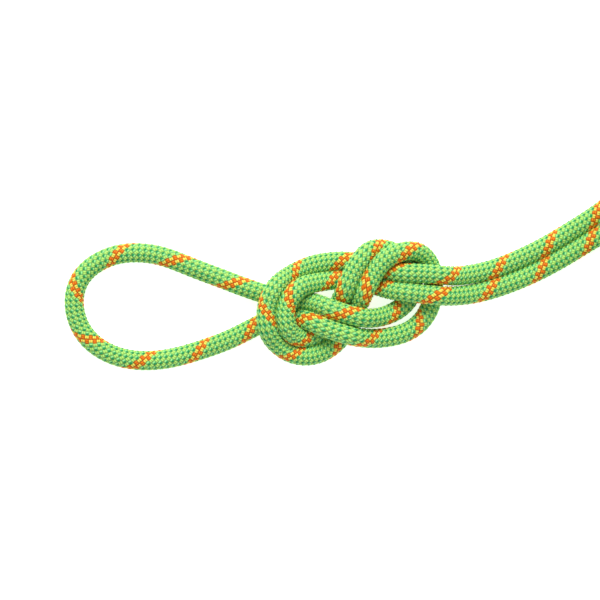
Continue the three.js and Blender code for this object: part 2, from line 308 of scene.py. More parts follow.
def ring_points(middle, up, left, radius, angle):
    """Points round a line, at a radius and an angle for each place along it and round it."""
    out = np.cos(angle)[..., None] * up[:, None] + np.sin(angle)[..., None] * left[:, None]
    return middle[:, None] + np.asarray(radius)[..., None] * out


def in_row(points):
    """Millimetres from the knot's middle, as metres in the row frame."""
    return np.asarray(points) * MM + KNOT


def new_piece(name, points, faces, material, uv=None, smooth=True):
    """A mesh object from points in the row frame; uv holds one pair for each face corner."""
    mesh = bpy.data.meshes.new(name)
    mesh.from_pydata(np.asarray(points).tolist(), [], faces)
    if uv is not None:
        layer = mesh.uv_layers.new(name="yarn")
        layer.data.foreach_set("uv", np.asarray(uv, np.float32).ravel())
    mesh.materials.append(material)
    mesh.polygons.foreach_set("use_smooth", [smooth] * len(mesh.polygons))
    mesh.update()
    piece = bpy.data.objects.new(name, mesh)
    scene.collection.objects.link(piece)
    return piece


def calc(tree, operation, *values):
    """A Math node; each value is a number or a socket."""
    node = tree.nodes.new("ShaderNodeMath")
    node.operation = operation
    for socket, value in zip(node.inputs, values):
        if isinstance(value, (int, float)):
            socket.default_value = value
        else:
            tree.links.new(value, socket)
    return node.outputs[0]


def product(tree, first, second):
    return calc(tree, "MULTIPLY", first, second)


def graded(tree, value, low, high):
    """low where the value is 0, high where it is 1."""
    return calc(tree, "ADD", low, product(tree, value, high - low))


def blend(tree, factor, first, second, mode="MIX"):
    """A colour Mix node; each colour is a list or a socket."""
    node = tree.nodes.new("ShaderNodeMix")
    node.data_type = "RGBA"
    node.blend_type = mode
    for socket, value in ((node.inputs[0], factor), (node.inputs[6], first), (node.inputs[7], second)):
        if isinstance(value, (int, float, list)):
            socket.default_value = value
        else:
            tree.links.new(value, socket)
    return node.outputs[2]


def place_of(tree):
    return tree.nodes.new("ShaderNodeTexCoord").outputs["Object"]


def uv_of(tree):
    """The two numbers of the piece's own UV."""
    uv = tree.nodes.new("ShaderNodeUVMap")
    uv.uv_map = "yarn"
    split = tree.nodes.new("ShaderNodeSeparateXYZ")
    tree.links.new(uv.outputs[0], split.inputs[0])
    return split.outputs[0], split.outputs[1]


def combined(tree, *values):
    """One vector from three sockets."""
    node = tree.nodes.new("ShaderNodeCombineXYZ")
    for value, socket in zip(values, node.inputs):
        tree.links.new(value, socket)
    return node.outputs[0]


def noise(tree, where, scale, detail=2.0):
    node = tree.nodes.new("ShaderNodeTexNoise")
    dial(node, {"Scale": scale, "Detail": detail})
    tree.links.new(where, node.inputs["Vector"])
    return node.outputs[0]


def bump(tree, shader, height, distance):
    node = tree.nodes.new("ShaderNodeBump")
    dial(node, {"Distance": distance, "Strength": 1.0})
    tree.links.new(height, node.inputs["Height"])
    tree.links.new(node.outputs[0], shader.inputs["Normal"])


def colour(text):
    """An sRGB colour such as "#8fd34f" in the linear light that sockets take."""
    parts = [int(text[k:k + 2], 16) / 255 for k in (1, 3, 5)]
    return [c / 12.92 if c <= 0.04045 else ((c + 0.055) / 1.055) ** 2.4 for c in parts] + [1.0]


FILAMENTS = 9.0  # streaks across a yarn
STREAKS = 1.6  # and along a float
FILAMENT_RELIEF = 0.16  # of a yarn's own
PATCHES = 55.0  # per metre: dye and handling vary over the rope
# painted shade: share of the base colour left deep in the grooves between yarns
GROOVE_SHADE = 0.24


def braid_nylon(name, yarns_by_bump):
    """Braided nylon: colours by yarn with painted shade in the grooves, filaments, soft sheen. UV is turns
    round, pitches along.
    """
    material, tree, shader = new_material(name)
    round_, along = uv_of(tree)
    a = product(tree, calc(tree, "SUBTRACT", round_, along), YARNS)
    b = product(tree, calc(tree, "ADD", round_, along), YARNS)
    cell = calc(tree, "ADD", calc(tree, "FLOOR", product(tree, a, 0.5)),
                calc(tree, "FLOOR", product(tree, b, 0.5)))
    right_over = calc(tree, "FLOORED_MODULO", cell, 2.0)
    left_over = calc(tree, "SUBTRACT", 1.0, right_over)
    a_in_pair = calc(tree, "FLOORED_MODULO", a, 2.0)
    b_in_pair = calc(tree, "FLOORED_MODULO", b, 2.0)

    def pick(left, right):
        return calc(tree, "ADD", product(tree, left, left_over), product(tree, right, right_over))

    def in_tracer(place):
        wrapped = calc(tree, "WRAP", place, YARNS / 2, -YARNS / 2)
        return calc(tree, "LESS_THAN", calc(tree, "ABSOLUTE", wrapped), TRACER_YARNS / 2)

    def hump(share):
        """0 at both ends of a share from 0 to 1, and 1 in its middle, with steep sides."""
        parabola = product(tree, 4.0, product(tree, share, calc(tree, "SUBTRACT", 1.0, share)))
        return calc(tree, "POWER", parabola, 0.5)

    across = pick(calc(tree, "FRACT", a), calc(tree, "FRACT", b))
    run = product(tree, pick(b_in_pair, a_in_pair), 0.5)

    # a float's two ends are tucked under the pairs that cross it, and show those pairs' colour
    from_middle = calc(tree, "SUBTRACT", run, 0.5)
    tucked = calc(tree, "GREATER_THAN", calc(tree, "ABSOLUTE", from_middle), TUCKED_FROM)
    bare = calc(tree, "SUBTRACT", 1.0, tucked)
    neighbour = calc(tree, "ADD", a, calc(tree, "SIGN", from_middle))
    lime, yellow_lime, orange = colour("#98ef90"), colour("#b9f276"), colour("#f47c04")
    teal_side = calc(tree, "GREATER_THAN", a_in_pair, 1.0)
    left = blend(tree, product(tree, teal_side, bare), lime, colour("#1a9e58"))
    left = blend(tree, in_tracer(a), left, orange)
    right = blend(tree, in_tracer(a), yellow_lime, colour("#fbe95c"))
    ends = blend(tree, in_tracer(neighbour), yellow_lime, orange)
    right = blend(tree, tucked, right, ends)
    yarn = blend(tree, right_over, left, right)

    height = product(tree, hump(across), hump(run))
    streaks = combined(tree, product(tree, across, FILAMENTS), product(tree, run, STREAKS), cell)
    filament = noise(tree, streaks, 1.0, 3.0)
    patch = noise(tree, place_of(tree), PATCHES, 3.0)

    # painted shade: the base colour is darkened in the grooves between yarns and where floats dip under,
    # then varied by the yarns' own filament streaks and dye patches
    shade = graded(tree, height, GROOVE_SHADE, 1.0)
    shade = product(tree, shade, graded(tree, filament, 0.84, 1.16))
    shade = product(tree, shade, graded(tree, patch, 0.90, 1.10))
    shade_and_grain_colour = tree.nodes.new("ShaderNodeCombineColor")
    for socket in shade_and_grain_colour.inputs:
        tree.links.new(shade, socket)
    tree.links.new(blend(tree, 1.0, yarn, shade_and_grain_colour.outputs[0], "MULTIPLY"), shader.inputs["Base Color"])
    dial(shader, {"Roughness": 0.52, "Specular IOR Level": 0.2,
                  "Sheen Weight": 0.08, "Sheen Roughness": 0.4})

    relief = product(tree, filament, FILAMENT_RELIEF)
    if yarns_by_bump:
        relief = calc(tree, "ADD", height, relief)
    bump(tree, shader, relief, 0.0004)
    return material


sheath_nylon = braid_nylon("braided_nylon", False)


def yarn_height(left, right):
    """Height of the braid at whole grid places, counted in cuts along each family: 0 to 1."""
    pair = 2 * CUTS
    left_over = (left // pair + right // pair) % 2 == 0
    across = np.where(left_over, left, right) % pair
    run = np.where(left_over, right, left) % pair
    crown = np.where(across == 0, 0.0, np.where(across == CUTS, PAIR_VALLEY, 1.0))
    return crown * np.sin(np.pi * run / pair) ** 0.75


def braided_sheath(name, start, end):
    """A stretch of sheath: every yarn modelled outside, a plain bore inside."""
    first = math.ceil(np.interp(start, turn_where, turn_count) * ROUND)
    last = math.floor(np.interp(end, turn_where, turn_count) * ROUND)
    levels = np.arange(first, last + 1)
    middle, up, left = frames(rope_line, np.interp(levels / ROUND, turn_count, turn_where))
    half = ROUND // 2
    odd = levels % 2
    places = 2 * np.arange(half)[None, :] + odd[:, None]
    level = levels[:, None]
    radius = CREST_R - RELIEF * (1 - yarn_height((places - level) // 2, (places + level) // 2))
    points = ring_points(middle, up, left, radius, 2 * np.pi * places / ROUND).reshape(-1, 3)

    # diamonds, each from a place at one level to the same place two levels on
    number = np.arange(len(levels))[:, None] * half
    j = np.arange(half)[None, :]
    n = len(levels) - 2
    here = (number[:n] + j).ravel()
    more = (number[1:n + 1] + (j + odd[:n, None]) % half).ravel()
    beyond = (number[2:] + j).ravel()
    less = (number[1:n + 1] + (j + odd[:n, None] - 1) % half).ravel()
    faces = np.column_stack([here, less, beyond, more]).tolist()
    m, z = places[:n].ravel(), np.repeat(levels[:n], half)
    steps = ((0, 0), (-1, 1), (0, 2), (1, 1))
    uv = np.stack([np.column_stack([m + dm, z + dz]) for dm, dz in steps], axis=1).reshape(-1, 2) / ROUND

    # the bore, and a rim at each end that closes the tube
    bore_rows = np.unique(np.append(np.arange(0, len(levels), 4 * CUTS), len(levels) - 1))
    angle = 2 * np.pi * np.arange(BORE_SIDES)[None] / BORE_SIDES
    bore = ring_points(middle[bore_rows], up[bore_rows], left[bore_rows], BORE_R, angle).reshape(-1, 3)
    base = len(points)
    extra, extra_uv = [], []

    def inner(row, side):
        level = levels[bore_rows[row]]
        return base + row * BORE_SIDES + side % BORE_SIDES, (side / BORE_SIDES, level / ROUND)

    def outer(row, k, place):
        return row * half + k % half, (place / ROUND, levels[row] / ROUND)

    def close(corners):
        extra.append([c[0] for c in corners])
        extra_uv.extend(c[1] for c in corners)

    for row in range(len(bore_rows) - 1):
        for side in range(BORE_SIDES):
            close([inner(row, side), inner(row, side + 1), inner(row + 1, side + 1), inner(row + 1, side)])
    each = half // BORE_SIDES
    last_row = len(levels) - 1
    for rim, next_rim, row, turn in ((0, 1, 0, 1), (last_row, last_row - 1, len(bore_rows) - 1, -1)):
        for k in range(half):
            place = places[rim, k]
            here, after = outer(rim, k, place), outer(rim, k + 1, place + 2)
            edge = outer(next_rim, k + int(odd[rim]), place + 1)
            close([here, edge, after][::turn])
            close([here, after, inner(row, k // each)][::turn])
            if k % each == each - 1:
                close([after, inner(row, k // each + 1), inner(row, k // each)][::turn])
    piece = new_piece(name, in_row(np.vstack([points, bore])), faces + extra, sheath_nylon,
                      np.vstack([uv, np.array(extra_uv)]))
    return piece, in_row(at_distances(rope_line, np.linspace(start, end, PATH_POINTS)))


# Its five parts join where another strand lies over them, at these places in plan.
SHEATH_PARTS = [
    ("sheath_tail", (38, 17)),
    ("sheath_outer_turns", (-6, -10)),
    ("sheath_loop", (-17, 3)),
    ("sheath_middle", (15, -11)),
    ("sheath_inner_turns", None),
]
LONGEST_PART = 330.0  # a joint is looked for no further on than this
end = FUSED_LENGTH + GAP
for name, joint in SHEATH_PARTS:
    start, end = end, next_passing(joint, end, LONGEST_PART) if joint else TIED_LENGTH
    part, path = braided_sheath(name, start, end)
    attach(part, "root")
    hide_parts("sheath")


# ------------------------ core strands
# Seven cords of white nylon carry the load: six round a thicker middle one, each laid up
# from three plies. They run the whole way inside the sheath, side by side.

RING_PLACES = 7
RING_R = 2.7
RING_STRAND_R = 1.1
MIDDLE_STRAND_R = 1.5
PLIES = 3
PLY_DEPTH = 0.14  # of the strand's radius
LAY_LENGTH = 18.0
STRAND_STEP = 1.5
CORE_END_GAP = 0.2


def new_tree(name, inputs):
    """A geometry node group with named number inputs and a material, and its two end nodes."""
    tree = bpy.data.node_groups.new(name, "GeometryNodeTree")
    tree.interface.new_socket("Geometry", in_out="INPUT", socket_type="NodeSocketGeometry")
    for label in inputs:
        tree.interface.new_socket(label, in_out="INPUT", socket_type="NodeSocketFloat")
    tree.interface.new_socket("Material", in_out="INPUT", socket_type="NodeSocketMaterial")
    tree.interface.new_socket("Geometry", in_out="OUTPUT", socket_type="NodeSocketGeometry")
    return tree, tree.nodes.new("NodeGroupInput"), tree.nodes.new("NodeGroupOutput")


def dressed(tree, geometry, given, result):
    """Makes instances real, gives them the group's material and hands them out."""
    whole = tree.nodes.new("GeometryNodeRealizeInstances")
    tree.links.new(geometry, whole.inputs[0])
    dress = tree.nodes.new("GeometryNodeSetMaterial")
    tree.links.new(whole.outputs[0], dress.inputs["Geometry"])
    tree.links.new(given.outputs["Material"], dress.inputs["Material"])
    tree.links.new(dress.outputs[0], result.inputs[0])


def strand_tree():
    """Sweeps a three-ply section along a strand's line, turning as it goes."""
    tree, given, result = new_tree("lay_up_strand", ("Radius", "Ply Depth", "Lay Length", "Plies"))
    made, link = tree.nodes.new, tree.links.new

    normal = made("GeometryNodeSetCurveNormal")
    normal.mode = "Z_UP"
    link(given.outputs["Geometry"], normal.inputs["Curve"])
    along = made("GeometryNodeSplineParameter").outputs["Length"]
    turns = calc(tree, "DIVIDE", along, given.outputs["Lay Length"])
    tilt = made("GeometryNodeSetCurveTilt")
    link(normal.outputs[0], tilt.inputs["Curve"])
    link(product(tree, turns, 2 * math.pi), tilt.inputs["Tilt"])

    section = made("GeometryNodeCurvePrimitiveCircle")
    section.inputs["Resolution"].default_value = 4 * PLIES
    link(given.outputs["Radius"], section.inputs["Radius"])
    shaped = made("GeometryNodeSetPosition")
    link(section.outputs[0], shaped.inputs["Geometry"])
    angle = product(tree, made("GeometryNodeSplineParameter").outputs["Factor"], 2 * math.pi)
    lobes = calc(tree, "COSINE", product(tree, angle, given.outputs["Plies"]))
    dent = product(tree, given.outputs["Ply Depth"], calc(tree, "SUBTRACT", lobes, 1.0))
    scaled = made("ShaderNodeVectorMath")
    scaled.operation = "SCALE"
    link(made("GeometryNodeInputPosition").outputs[0], scaled.inputs[0])
    link(calc(tree, "ADD", 1.0, dent), scaled.inputs["Scale"])
    link(scaled.outputs[0], shaped.inputs["Position"])

    sweep = made("GeometryNodeCurveToMesh")
    sweep.inputs["Fill Caps"].default_value = True
    link(tilt.outputs[0], sweep.inputs["Curve"])
    link(shaped.outputs[0], sweep.inputs["Profile Curve"])
    dressed(tree, sweep.outputs[0], given, result)
    return tree


def grown(name, source, tree, settings):
    """The plain mesh that a node tree makes from a source object, which is then removed."""
    grow = source.modifiers.new("grow", "NODES")
    grow.node_group = tree
    for item in tree.interface.items_tree:
        if item.in_out == "INPUT" and item.name in settings:
            grow[item.identifier] = settings[item.name]
    view = bpy.context.evaluated_depsgraph_get()
    mesh = bpy.data.meshes.new_from_object(source.evaluated_get(view), depsgraph=view)
    mesh.name = name
    mesh.shade_smooth()
    bpy.data.objects.remove(source)
    piece = bpy.data.objects.new(name, mesh)
    scene.collection.objects.link(piece)
    return piece


def line_object(name, points):
    """A curve object of one poly spline."""
    curve = bpy.data.curves.new(name, "CURVE")
    curve.dimensions = "3D"
    spline = curve.splines.new("POLY")
    spline.points.add(len(points) - 1)
    spline.points.foreach_set("co", np.column_stack([points, np.ones(len(points))]).ravel())
    line = bpy.data.objects.new(name, curve)
    scene.collection.objects.link(line)
    return line


core_nylon, core_tree, core_shader = new_material("core_nylon")
core_where = place_of(core_tree)
core_fibre = noise(core_tree, core_where, 2600.0)
core_patch = noise(core_tree, core_where, 120.0)
core_mix = product(core_tree, calc(core_tree, "ADD", core_fibre, core_patch), 0.5)
core_tree.links.new(blend(core_tree, core_mix, colour("#d9d6c6"), colour("#fbfaf3")),
                    core_shader.inputs["Base Color"])
dial(core_shader, {"Roughness": 0.6, "Sheen Weight": 0.3})
bump(core_tree, core_shader, core_fibre, 0.0001)

strand_where = np.arange(FUSED_LENGTH + GAP, TIED_LENGTH - CORE_END_GAP, STRAND_STEP)
strand_middle, strand_up, strand_left = frames(rope_line, strand_where)
lay_up = strand_tree()
for place in range(RING_PLACES):
    angle = 2 * math.pi * place / RING_PLACES
    node = f"core_strand_{place}" if place else "core_strand_middle"
    offset = RING_R if place else 0.0
    points = strand_middle + offset * (math.cos(angle) * strand_up + math.sin(angle) * strand_left)
    radius = RING_STRAND_R if place else MIDDLE_STRAND_R
    strand = grown(f"{node}_laid", line_object(node + "_line", in_row(points)), lay_up, {
        "Radius": radius * MM, "Ply Depth": PLY_DEPTH, "Lay Length": LAY_LENGTH * MM,
        "Plies": float(PLIES), "Material": core_nylon,
    })
    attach(strand, "root")
    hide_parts(node)


# ------------------------ marker tape
# A thin strip of printed film that every rope carries in its core, here left blank but
# for two stripes. It lies in the seventh place of the ring, flat against the sheath.

TAPE_WIDTH = 1.6
TAPE_THICK = 0.2
TAPE_STEP = 3.0
STRIPE = (0.22, 0.34)  # from and to, out from the middle of the way round the strip

tape_film, tape_tree, tape_shader = new_material("marker_film")
tape_across = uv_of(tape_tree)[0]
tape_edge = calc(tape_tree, "ABSOLUTE", calc(tape_tree, "SUBTRACT", tape_across, 0.5))
tape_stripe = product(tape_tree, calc(tape_tree, "GREATER_THAN", tape_edge, STRIPE[0]),
                      calc(tape_tree, "LESS_THAN", tape_edge, STRIPE[1]))
tape_tree.links.new(blend(tape_tree, tape_stripe, colour("#ecd94f"), colour("#3c5fa8")),
                    tape_shader.inputs["Base Color"])
dial(tape_shader, {"Roughness": 0.28, "Coat Weight": 0.3})
bump(tape_tree, tape_shader, noise(tape_tree, place_of(tape_tree), 300.0), 0.00008)


def swept(name, middle, first, second, section, material, closed=False, smooth=True):
    """A section, points as (first, second) offsets in mm, carried along a line; ends are capped.

    UV is the share of the way round the section, and mm along the line.
    """
    section = np.asarray(section, float)
    rows, sides = len(middle), len(section)
    points = middle[:, None] + section[:, :1] * first[:, None] + section[:, 1:] * second[:, None]
    edge = np.linalg.norm(np.roll(section, -1, axis=0) - section, axis=1)
    round_ = np.concatenate([[0], np.cumsum(edge)]) / edge.sum()
    along = distances(np.vstack([middle, middle[:1]]) if closed else middle)
    faces, uv = [], []
    for k in range(rows if closed else rows - 1):
        after = (k + 1) % rows
        for s in range(sides):
            t = (s + 1) % sides
            faces.append((k * sides + s, k * sides + t, after * sides + t, after * sides + s))
            uv += [(round_[i], along[j]) for i, j in ((s, k), (s + 1, k), (s + 1, k + 1), (s, k + 1))]
    if not closed:
        faces.append(tuple(range(sides))[::-1])
        faces.append(tuple((rows - 1) * sides + s for s in range(sides)))
        uv += [(r, along[0]) for r in round_[sides - 1::-1]] + [(r, along[-1]) for r in round_[:sides]]
    return new_piece(name, in_row(points.reshape(-1, 3)), faces, material, uv, smooth)


tape_where = np.arange(FUSED_LENGTH + GAP, TIED_LENGTH - CORE_END_GAP, TAPE_STEP)
tape_middle, tape_up, tape_left = frames(rope_line, tape_where)
tape_section = [(x * TAPE_WIDTH / 2, y * TAPE_THICK / 2) for x, y in ((-1, -1), (-1, 1), (1, 1), (1, -1))]
tape = swept("marker_tape_strip", tape_middle + (BORE_R - TAPE_THICK) * tape_up, tape_left, tape_up,
             tape_section, tape_film, smooth=False)
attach(tape, "root")
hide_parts("marker_tape")


# ------------------------ the two fused ends
# The cut ends of sheath and core are melted together with a hot knife, so that nothing
# frays: a hard glossy button in which the yarns' colours have run into each other.

FUSED_R = 4.7
FUSED_NOSE = 1.3  # how much narrower it is where its crown begins
FUSED_RINGS = 14
FUSED_SIDES = 40
NOSE_FROM, CROWN_FROM = 0.25, 0.62  # shares of the rings
CROWN_RISE = 0.25
CROWN_TIP_R = 0.05
UNEVEN = 0.05  # ripples of its side, and dents of its face
DENTED = 0.06

fused_plastic, fused_tree, fused_shader = new_material("fused_nylon")
fused_swirl = noise(fused_tree, place_of(fused_tree), 420.0, 4.0)
fused_speck = noise(fused_tree, place_of(fused_tree), 900.0)
fused_mix = blend(fused_tree, fused_swirl, colour("#4f8f3a"), colour("#a5d870"))
fused_burn = calc(fused_tree, "GREATER_THAN", fused_speck, 0.60)
fused_tree.links.new(blend(fused_tree, fused_burn, fused_mix, colour("#6a5a2c")),
                     fused_shader.inputs["Base Color"])
dial(fused_shader, {"Roughness": 0.22, "Coat Weight": 0.4})
bump(fused_tree, fused_shader, fused_swirl, 0.0003)


def fused_end(node, root, outwards):
    """A melted button on the rope's end, its back at root, bulging outwards."""
    outwards = outwards / np.linalg.norm(outwards)
    side = np.cross([0, 0, 1.0], outwards)
    side /= np.linalg.norm(side)
    over = np.cross(outwards, side)
    rng = np.random.default_rng(7)
    waves = rng.uniform(0, 2 * math.pi, 6)
    points = [root]
    for k in range(FUSED_RINGS):
        t = k / (FUSED_RINGS - 1)
        if t < CROWN_FROM:
            nose = max(0.0, (t - NOSE_FROM) / (CROWN_FROM - NOSE_FROM))
            depth = FUSED_LENGTH * math.sin(t / CROWN_FROM * math.pi / 2)
            radius = FUSED_R - FUSED_NOSE * nose ** 2
        else:
            crown = (t - CROWN_FROM) / (1 - CROWN_FROM)
            depth = FUSED_LENGTH + CROWN_RISE * math.cos(crown * math.pi / 2)
            radius = (FUSED_R - FUSED_NOSE) * (1 - crown) + CROWN_TIP_R
        for s in range(FUSED_SIDES):
            a = 2 * math.pi * s / FUSED_SIDES
            uneven = sum(math.cos((n + 2) * a + w) for n, w in enumerate(waves[:3])) * UNEVEN
            dent = sum(math.cos((n + 1) * a + 5 * t + w) for n, w in enumerate(waves[3:])) * DENTED * t
            points.append(root + (depth + dent) * outwards
                          + (radius + uneven * (1 - t)) * (math.cos(a) * side + math.sin(a) * over))
    points.append(root + (FUSED_LENGTH + CROWN_RISE) * outwards)
    faces = []
    for s in range(FUSED_SIDES):
        after = (s + 1) % FUSED_SIDES
        faces.append((0, 1 + after, 1 + s))
        for k in range(FUSED_RINGS - 1):
            low, high = 1 + k * FUSED_SIDES, 1 + (k + 1) * FUSED_SIDES
            faces.append((low + s, low + after, high + after, high + s))
        rim = 1 + (FUSED_RINGS - 1) * FUSED_SIDES
        faces.append((rim + s, rim + after, len(points) - 1))
    piece = new_piece(f"{node}_button", in_row(points), faces, fused_plastic)
    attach(piece, "root")
    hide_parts(node)
    return piece


tail_root = at_distances(rope_line, [FUSED_LENGTH])[0]
tail_outwards = at_distances(rope_line, [0.0])[0] - tail_root
tail_button = fused_end("fused_end_tail", tail_root, tail_outwards)


def box_middle(node):
    low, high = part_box(node)
    return (np.array(low) + np.array(high)) / 2


sleeve_mid, plug_mid = box_middle("end_sleeve_hank"), box_middle("fused_end_hank")
far_outwards = (plug_mid - sleeve_mid) * [1, 1, 0]
far_outwards /= np.linalg.norm(far_outwards)
far_tip = (plug_mid - KNOT) / MM - FUSED_LENGTH / 2 * far_outwards
far_tip[2] = (sleeve_mid[2] - KNOT[2]) / MM
far_button = fused_end("fused_end_hank", far_tip, far_outwards)


# ------------------------ the two end sleeves
# A blank heat-shrink sleeve covers each end. It is slid on and shrunk, so it follows the
# braid a little under it and its two rims curl in.

SLEEVE_BORE = 5.05
SLEEVE_OUT = 5.55
SLEEVE_SIDES = 40
SLEEVE_ROWS = 44
SLEEVE_FROM = 1.0  # from the tail's very end
FAR_STRAIGHT = 40  # mm of the far end that the other sleeve is laid along
RIM_CURL, RIM_REACH = 0.32, 0.7
PRINT_DEPTH = 0.05  # of the braid under it
PRINT_TURN = 2.2  # radians per mm

shrink_film, shrink_tree, shrink_shader = new_material("shrink_sleeve")
shrink_cloud = noise(shrink_tree, place_of(shrink_tree), 160.0, 3.0)
shrink_grain = noise(shrink_tree, place_of(shrink_tree), 1800.0)
shrink_tree.links.new(blend(shrink_tree, shrink_cloud, colour("#1f2124"), colour("#3a3d41")),
                      shrink_shader.inputs["Base Color"])
dial(shrink_shader, {"Roughness": 0.42, "Coat Weight": 0.15})
bump(shrink_tree, shrink_shader, shrink_grain, 0.00005)


def shrink_sleeve(node, line, start, end):
    """A closed-wall sleeve along a line: outside with the braid's print, rims, then the bore."""
    where = np.linspace(start, end, SLEEVE_ROWS)
    middle, up, left = frames(line, where)
    angle = 2 * np.pi * np.arange(SLEEVE_SIDES) / SLEEVE_SIDES
    rim = np.minimum(where - start, end - where)
    curl = RIM_CURL * np.exp(-rim / RIM_REACH)
    a, turn = np.meshgrid(YARNS / 2 * angle, PRINT_TURN * where)
    print_ = PRINT_DEPTH * np.sin(a + turn) * np.sin(a - turn)
    outside = SLEEVE_OUT - curl[:, None] + print_ * np.clip(rim / 2, 0, 1)[:, None]
    inside = np.full_like(outside, SLEEVE_BORE) - 0.1 * (rim < 0.1)[:, None]
    rows = np.vstack([ring_points(middle, up, left, outside, angle),
                      ring_points(middle, up, left, inside, angle)[::-1]])
    corners = ((0, 1), (0, 0), (1, 0), (1, 1))
    faces = [tuple((k + dk) % len(rows) * SLEEVE_SIDES + (s + ds) % SLEEVE_SIDES for dk, ds in corners)
             for k in range(len(rows)) for s in range(SLEEVE_SIDES)]
    piece = new_piece(f"{node}_film", in_row(rows.reshape(-1, 3)), faces, shrink_film)
    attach(piece, "root")
    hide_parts(node)
    return piece


tail_sleeve = shrink_sleeve("end_sleeve_tail", rope_line, SLEEVE_FROM, SLEEVE_LENGTH + SLEEVE_FROM)
far_line = np.array([far_tip - k * far_outwards for k in range(FAR_STRAIGHT)])
far_sleeve = shrink_sleeve("end_sleeve_hank", far_line, GAP, SLEEVE_LENGTH)


# ------------------------ the hank
# The other twenty-nine metres of the same rope are folded in long turns, nine layers
# deep, each turn beside the last. They fan out at the two bends and are drawn together
# at the waist, where the strap goes round.

HANK_ROWS = [4, 5, 6, 6, 6, 6, 6, 5, 4]  # turns side by side in each layer, from the table up
FOOT_SPREAD = 1.0 * ROPE_D  # the lowest layer's bends lie this much further out
FOLD_R = 2.2 * ROPE_D  # the tightest bend
LOBE_RISE = 8.77  # from layer to layer
WAIST_RISE = 8.22
WAIST_LIFT = 2.3  # over the strap
WAIST_HALF = 12.0
LAST_RUN_TO = 24.0  # where the last run turns off to the rope's end
END_STEP = 7.0
HANK_STEP = 5.6
HANK_SIDES = 16
HANK_MIDDLE = np.array([*(HANK_FROM_KNOT / MM), 0.0])


def ease(t):
    t = np.clip(t, 0, 1)
    return t * t * (3 - 2 * t)


def fanned(x):
    """0 under the strap, 1 at the bends."""
    return ease((abs(x) - WAIST_HALF) / (LOBE_X - WAIST_HALF))


def out_from_middle(row, place, x):
    waist = (place + 0.5) * ROPE_D
    lobe = FOLD_R + place * ROPE_D + (FOOT_SPREAD if row == 0 else 0.0)
    return waist + (lobe - waist) * fanned(x)


def layer_height(row, x):
    lobe, waist = ROPE_R + row * LOBE_RISE, ROPE_R + WAIST_LIFT + row * WAIST_RISE
    return waist + (lobe - waist) * fanned(x)


def hank_line():
    """The whole winding, from the lead-in to the rope's far end, in mm from the hank's middle."""
    turns = []
    for row, across in enumerate(HANK_ROWS):
        places = range(across) if row % 2 else range(across - 1, -1, -1)
        turns += [(row, place) for place in places]
    runs = np.linspace(-LOBE_X, LOBE_X, int(2 * LOBE_X / HANK_STEP) + 1)
    start = touch - HANK_MIDDLE
    points = [start - (LEAD_IN + GAP) * heading * t for t in np.linspace(1, 0, 8)]

    def bend(side, radius, z, first, last):
        cuts = max(6, int(abs(last - first) * radius / HANK_STEP))
        for q in np.linspace(first, last, cuts + 1)[1:-1]:
            points.append([side * LOBE_X + radius * math.cos(q), radius * math.sin(q), z])

    bend(-1, OUTER_TURN_R, ROPE_R, LEAD_IN_TURN, math.pi / 2)
    for turn, (row, place) in enumerate(turns):
        last = turn == len(turns) - 1
        extra = OUTER_TURN_R - out_from_middle(row, place, LOBE_X) if turn == 0 else 0.0
        for x in runs:
            if last and x > LAST_RUN_TO:
                break
            slack = extra * (1 - ease((x + LOBE_X) / LOBE_X)) * fanned(x)
            points.append([x, out_from_middle(row, place, x) + slack, layer_height(row, x)])
        if last:
            break
        bend(1, out_from_middle(row, place, LOBE_X), layer_height(row, LOBE_X), math.pi / 2, -math.pi / 2)
        next_row, next_place = turns[turn + 1]
        for x in runs[::-1]:
            moved = ease((LOBE_X - x) / (2 * LOBE_X))
            here = np.array([-out_from_middle(row, place, x), layer_height(row, x)])
            there = np.array([-out_from_middle(next_row, next_place, x), layer_height(next_row, x)])
            points.append([x, *((1 - moved) * here + moved * there)])
        bend(-1, out_from_middle(next_row, next_place, LOBE_X), layer_height(next_row, LOBE_X),
             -math.pi / 2, -1.5 * math.pi)
    tip = far_tip - HANK_MIDDLE
    points += [tip - k * far_outwards for k in (*np.arange(4, 0, -1) * END_STEP, GAP)]
    return np.array(points, float)


hank_points = evenly(smooth_line(hank_line() + HANK_MIDDLE, 4), HANK_STEP)
hank_where = distances(hank_points)
hank_middle, hank_up, hank_left = frames(hank_points, hank_where)
hank_turns = np.interp(TIED_LENGTH, turn_where, turn_count) + hank_where / PITCH

hank_nylon = braid_nylon("braided_nylon_hank", True)


def plain_tube(name, middle, up, left, turns, material):
    """A tube along ring centres, with the braid's own UV and closed ends."""
    rows, sides = len(middle), HANK_SIDES
    angle = 2 * np.pi * np.arange(sides) / sides
    points = ring_points(middle, up, left, ROPE_R, angle).reshape(-1, 3)
    points = np.vstack([points, middle[:1], middle[-1:]])
    k, s = (g.ravel() for g in np.meshgrid(np.arange(rows - 1), np.arange(sides), indexing="ij"))
    corners = ((k, s), (k + 1, s), (k + 1, s + 1), (k, s + 1))
    faces = np.column_stack([i * sides + j % sides for i, j in corners]).tolist()
    uv = np.stack([np.column_stack([j / sides, turns[i]]) for i, j in corners], axis=1)
    uv = uv.reshape(-1, 2).tolist()
    start, end, last = rows * sides, rows * sides + 1, (rows - 1) * sides
    for side in range(sides):
        after = (side + 1) % sides
        faces += [(start, side, after), (end, last + after, last + side)]
        uv += [(0.5, turns[0])] * 3 + [(0.5, turns[-1])] * 3
    return new_piece(name, in_row(points), faces, material, uv)


hank = plain_tube("hank_rope", hank_middle, hank_up, hank_left, hank_turns, hank_nylon)
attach(hank, "root")
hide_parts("hank")


# ------------------------ the strap
# A band of dark nylon webbing with a hook-and-loop closure. It goes once round the waist
# and its free end lies over its own start on top, where a box of stitches holds the pad.

